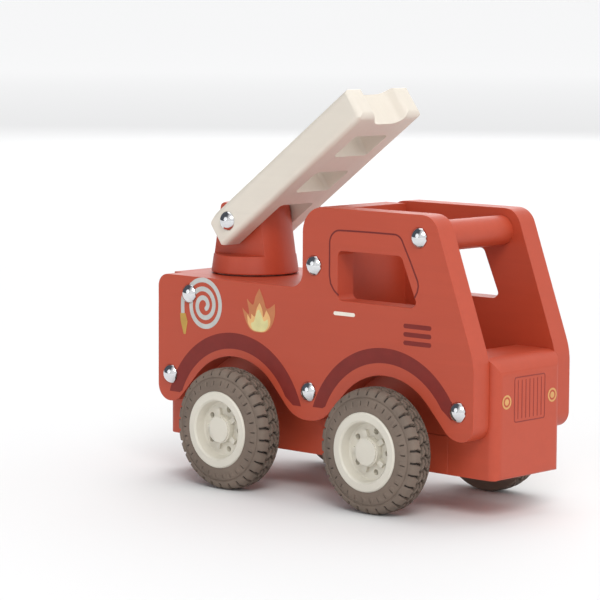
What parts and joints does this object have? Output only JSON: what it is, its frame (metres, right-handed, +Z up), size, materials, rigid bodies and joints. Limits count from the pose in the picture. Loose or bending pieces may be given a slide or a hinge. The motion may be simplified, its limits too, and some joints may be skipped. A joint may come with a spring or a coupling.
{
  "type": "toy fire engine",
  "caption": "Wooden toy fire engine with bolted side plates, open cab, rolling rubber-tyred wheels, a swivelling turret and a tilting ladder.",
  "frame": {"origin": "on the floor under the middle of the base board", "axes": "+X towards the front of the truck, +Y towards its left side, +Z up"},
  "size_m": [0.1886, 0.093, 0.1743],
  "materials": {
    "red_paint": "satin",
    "cream_paint": "satin",
    "steel": "polished",
    "axle_steel": "satin",
    "nylon": "matte",
    "hub_plastic": "satin",
    "tyre_rubber": "matte",
    "bare_wood": "matte",
    "print_dark": "matte",
    "print_light": "matte",
    "print_gold": "matte"
  },
  "bodies": {
    "body": {"base_board": "red_paint", "hood_block": "red_paint", "bed_block": "red_paint", "cab_rear_wall": "red_paint", "cab_floor_block": "red_paint", "side_plate_right": "red_paint", "side_plate_left": "red_paint", "grab_bar": "red_paint", "body_bolts": "steel", "body_cap_nuts": "steel", "glue_dowels": "bare_wood", "front_axle_bushes": "nylon", "rear_axle_bushes": "nylon", "turret_ring": "nylon"},
    "front_wheels": {"front_axle": "axle_steel", "front_axle_spacers": "nylon", "hub_front_right": "hub_plastic", "hub_front_left": "hub_plastic", "tyre_front_right": "tyre_rubber", "tyre_front_left": "tyre_rubber", "hub_cap_front_right": "hub_plastic", "hub_cap_front_left": "hub_plastic"},
    "rear_wheels": {"rear_axle": "axle_steel", "rear_axle_spacers": "nylon", "hub_rear_right": "hub_plastic", "hub_rear_left": "hub_plastic", "tyre_rear_right": "tyre_rubber", "tyre_rear_left": "tyre_rubber", "hub_cap_rear_right": "hub_plastic", "hub_cap_rear_left": "hub_plastic"},
    "turret": {"turret": "red_paint", "turret_bolt": "axle_steel", "turret_washer": "axle_steel"},
    "ladder": {"ladder": "cream_paint", "ladder_bolt": "steel", "ladder_cap_nut": "steel", "ladder_washers": "nylon"}
  },
  "joints": [
    {"name": "front_axle_spin", "type": "hinge", "parent": "body", "child": "front_wheels", "pos_m": [0.0439, 0, 0.0265], "axis": [0, 1, 0], "continuous": true},
    {"name": "rear_axle_spin", "type": "hinge", "parent": "body", "child": "rear_wheels", "pos_m": [-0.0406, 0, 0.0265], "axis": [0, 1, 0], "continuous": true},
    {"name": "turret_swivel", "type": "hinge", "parent": "body", "child": "turret", "pos_m": [-0.0615, 0, 0.0902], "axis": [0, 0, 1], "continuous": true},
    {"name": "ladder_tilt", "type": "hinge", "parent": "turret", "child": "ladder", "pos_m": [-0.0592, 0, 0.1146], "axis": [0, -1, 0], "range_deg": [-15.5, 53.5]}
  ]
}
